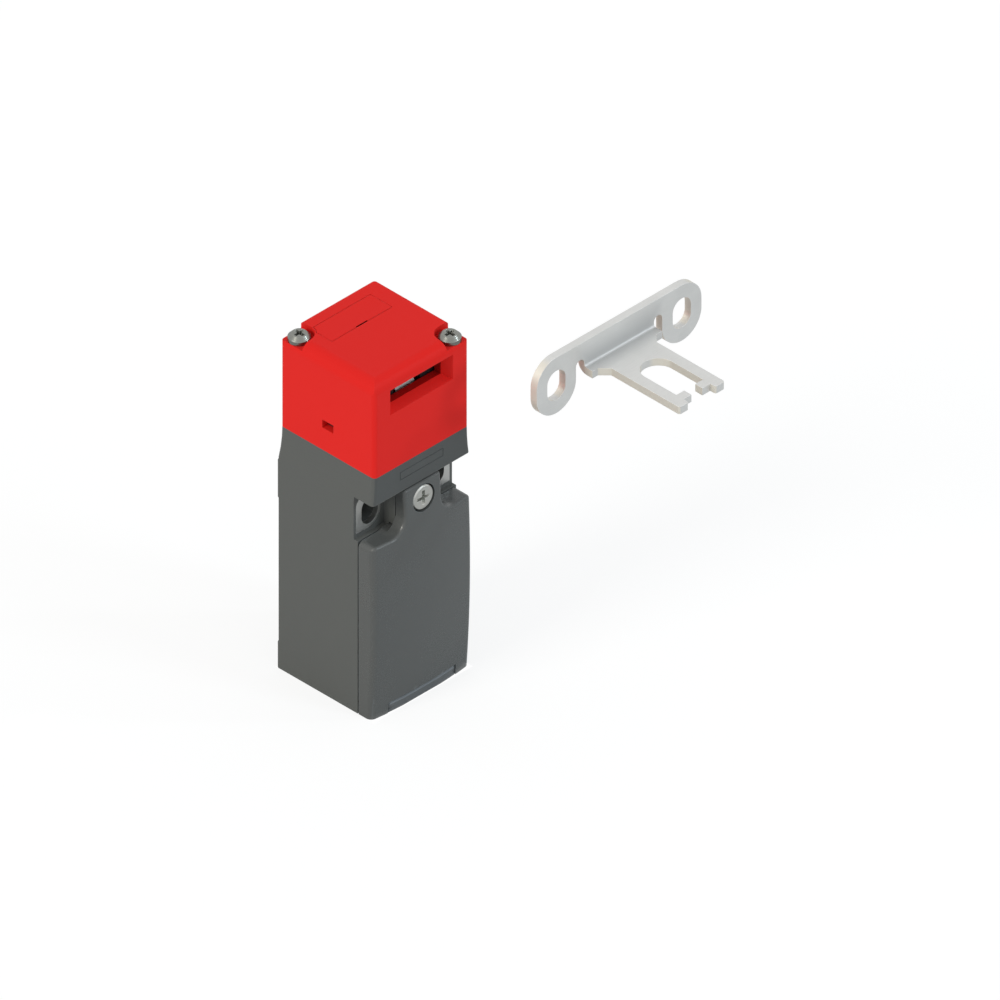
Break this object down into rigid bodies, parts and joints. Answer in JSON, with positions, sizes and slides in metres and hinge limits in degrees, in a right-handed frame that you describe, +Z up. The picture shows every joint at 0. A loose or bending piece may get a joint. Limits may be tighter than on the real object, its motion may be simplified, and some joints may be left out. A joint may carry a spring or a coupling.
{
  "type": "tongue interlock switch",
  "caption": "Slim guard interlock switch with a red two-way key head, hinged terminal cover, conduit entry and a forked steel actuator key.",
  "frame": {"origin": "centre of the threaded conduit entry, in the plane of the base, straight below the centre of the head", "axes": "+Z up the body towards the head; +Y into the panel that the back is screwed to, so the cover and the front key slot face -Y; +X to the right seen from the front"},
  "size_m": [0.0825, 0.0797, 0.0937],
  "materials": {
    "grey_plastic": "moulded, fine texture",
    "cover_plastic": "moulded, fine texture",
    "red_plastic": "moulded, satin",
    "black_plastic": "moulded",
    "white_plastic": "moulded, slick",
    "clear_cover": "smoky moulded lid",
    "seal_rubber": "soft",
    "steel": "zinc plated sheet",
    "zinc": "zinc plated",
    "key_steel": "stamped, fine grained",
    "cam_metal": "die cast, dull",
    "spring_steel": "drawn wire",
    "contact_brass": "stamped",
    "silver": "contact rivets"
  },
  "bodies": {
    "switch": {"housing": "grey_plastic", "ear_plates": "steel", "head": "red_plastic", "head_gasket": "seal_rubber", "head_screws": "zinc", "cam_carrier": "black_plastic", "cam_axle": "steel", "plunger_seal": "seal_rubber", "spring_seat": "steel", "contact_base": "black_plastic", "contact_lid": "clear_cover", "fixed_contacts": "contact_brass", "contact_tips": "silver", "terminal_clamps": "zinc", "terminal_screws": "zinc", "block_screws": "zinc"},
    "cover": {"cover": "cover_plastic", "cover_gasket": "seal_rubber"},
    "cover_screw": {"cover_screw": "zinc"},
    "slot_plug": {"slot_plug": "red_plastic"},
    "cam": {"driver_cam": "cam_metal", "code_discs": "black_plastic"},
    "plunger": {"plunger": "white_plastic", "plunger_spring": "spring_steel"},
    "contact_slide": {"contact_slide": "white_plastic", "contact_bridges": "contact_brass", "bridge_springs": "spring_steel", "slide_spring": "spring_steel"},
    "key": {"actuator_key": "key_steel"}
  },
  "joints": [
    {"name": "cover_hinge", "type": "hinge", "parent": "switch", "child": "cover", "pos_m": [0, -0.0142, 0.00115], "axis": [1, 0, 0], "range_deg": [0, 90]},
    {"name": "cover_screw_out", "type": "slide", "parent": "cover", "child": "cover_screw", "axis": [0, -1, 0], "range_m": [0, 0.005]},
    {"name": "plug_lift", "type": "slide", "parent": "switch", "child": "slot_plug", "axis": [0, 0, 1], "range_m": [0, 0.005]},
    {"name": "cam_turn", "type": "hinge", "parent": "switch", "child": "cam", "pos_m": [0, 0, 0.0786], "axis": [-1, 0, 0], "range_deg": [0, 70]},
    {"name": "plunger_rise", "type": "slide", "parent": "switch", "child": "plunger", "axis": [0, 0, 1], "range_m": [0, 0.0025], "deforming": ["plunger_spring"]},
    {"name": "contact_rise", "type": "slide", "parent": "switch", "child": "contact_slide", "axis": [0, 0, 1], "range_m": [0, 0.0025], "deforming": ["slide_spring"]},
    {"name": "key_swing", "type": "hinge", "parent": "switch", "child": "key", "pos_m": [0.0203, -0.0402, 0.0858], "axis": [0, 0, -1], "range_deg": [0, 180]}
  ],
  "couplings": [
    {"joint": "plunger_rise", "follows": "cam_turn", "m_per_rad": 0.0020463},
    {"joint": "contact_rise", "follows": "cam_turn", "m_per_rad": 0.0020463}
  ]
}
